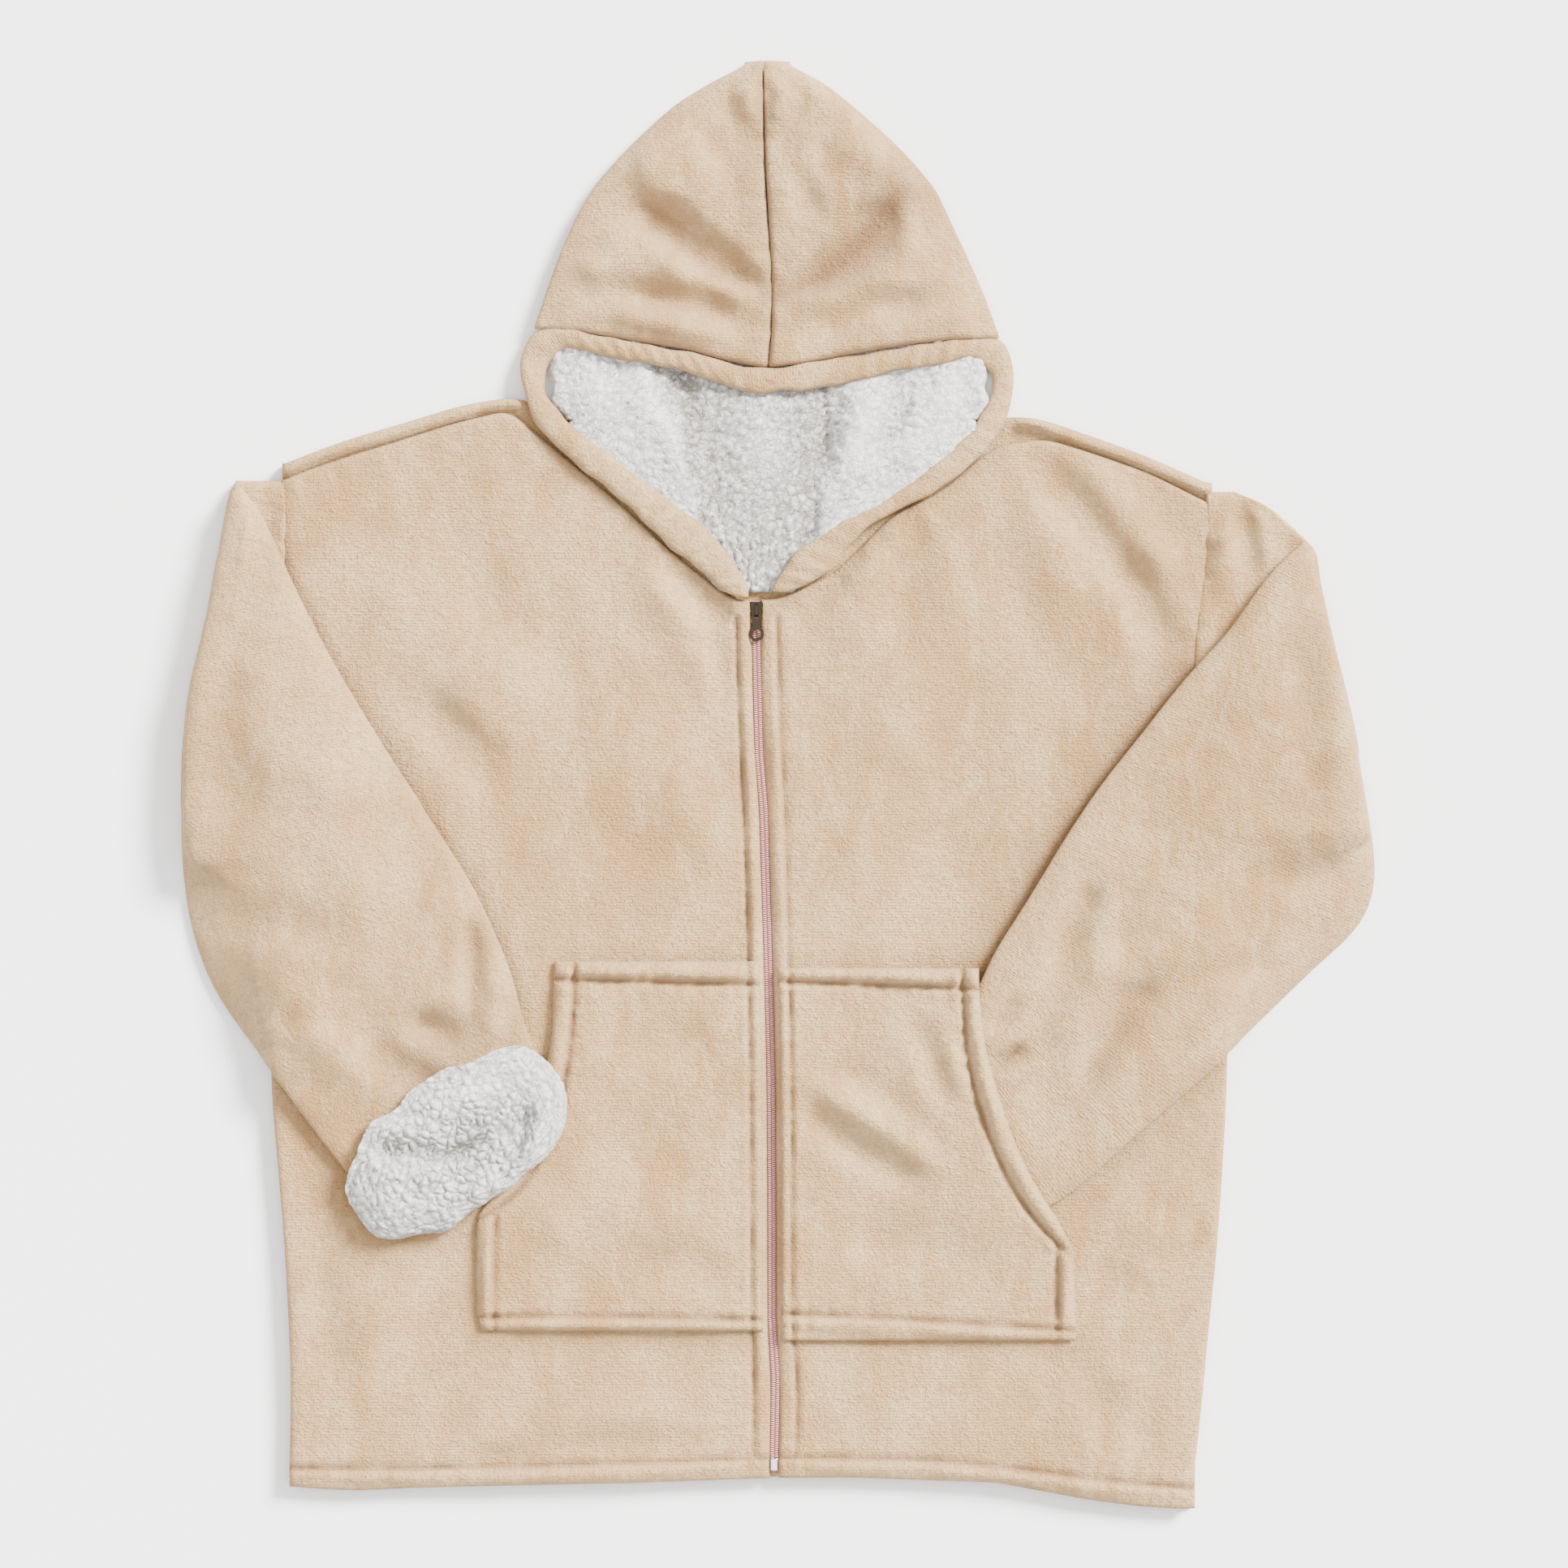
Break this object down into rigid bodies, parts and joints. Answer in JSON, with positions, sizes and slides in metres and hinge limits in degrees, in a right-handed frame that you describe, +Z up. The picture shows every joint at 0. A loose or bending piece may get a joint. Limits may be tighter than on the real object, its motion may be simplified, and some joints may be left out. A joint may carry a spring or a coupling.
{
  "type": "hoodie",
  "caption": "Oversized zip-through hooded top in pile fleece with a curly lining, laid flat front up, sleeves folded over, one cuff turned back.",
  "frame": {"origin": "centre of the outline on the surface that the garment lies on", "axes": "+Z up out of the front of the garment, +Y from the hem to the hood, +X to the viewer's right"},
  "size_m": [0.8584, 1.0368, 0.0475],
  "materials": {
    "pile_fleece": "short raised pile, beige",
    "curly_lining": "curled pile in clumps, off-white",
    "zip_tape": "woven tape, dusty pink",
    "zip_coil": "nylon coil, dusty pink",
    "antique_nickel": "dark plated, polished high spots",
    "bright_nickel": "bright plated"
  },
  "bodies": {
    "garment": {"back": "pile_fleece", "front_left": "pile_fleece", "front_right": "pile_fleece", "sleeve_head_left": "pile_fleece", "sleeve_head_right": "pile_fleece", "sleeve_left": "pile_fleece", "sleeve_right": "pile_fleece", "pocket_left": "pile_fleece", "pocket_right": "pile_fleece", "hood_back": "pile_fleece", "hood_left": "pile_fleece", "hood_right": "pile_fleece", "hood_band_brim": "pile_fleece", "hood_band_left": "pile_fleece", "hood_band_right": "pile_fleece", "hood_lining": "curly_lining", "neck_lining": "curly_lining", "cuff_left": "curly_lining", "zip_tape": "zip_tape", "zip_chain": "zip_coil", "zip_slider": "antique_nickel", "zip_box": "bright_nickel"},
    "pull_tab": {"zip_pull": "antique_nickel"}
  },
  "joints": [
    {"name": "pull_swing", "type": "hinge", "parent": "garment", "child": "pull_tab", "pos_m": [-0.0171, 0.1235, 0.0173], "axis": [-1, 0, 0], "range_deg": [0, 120]}
  ]
}
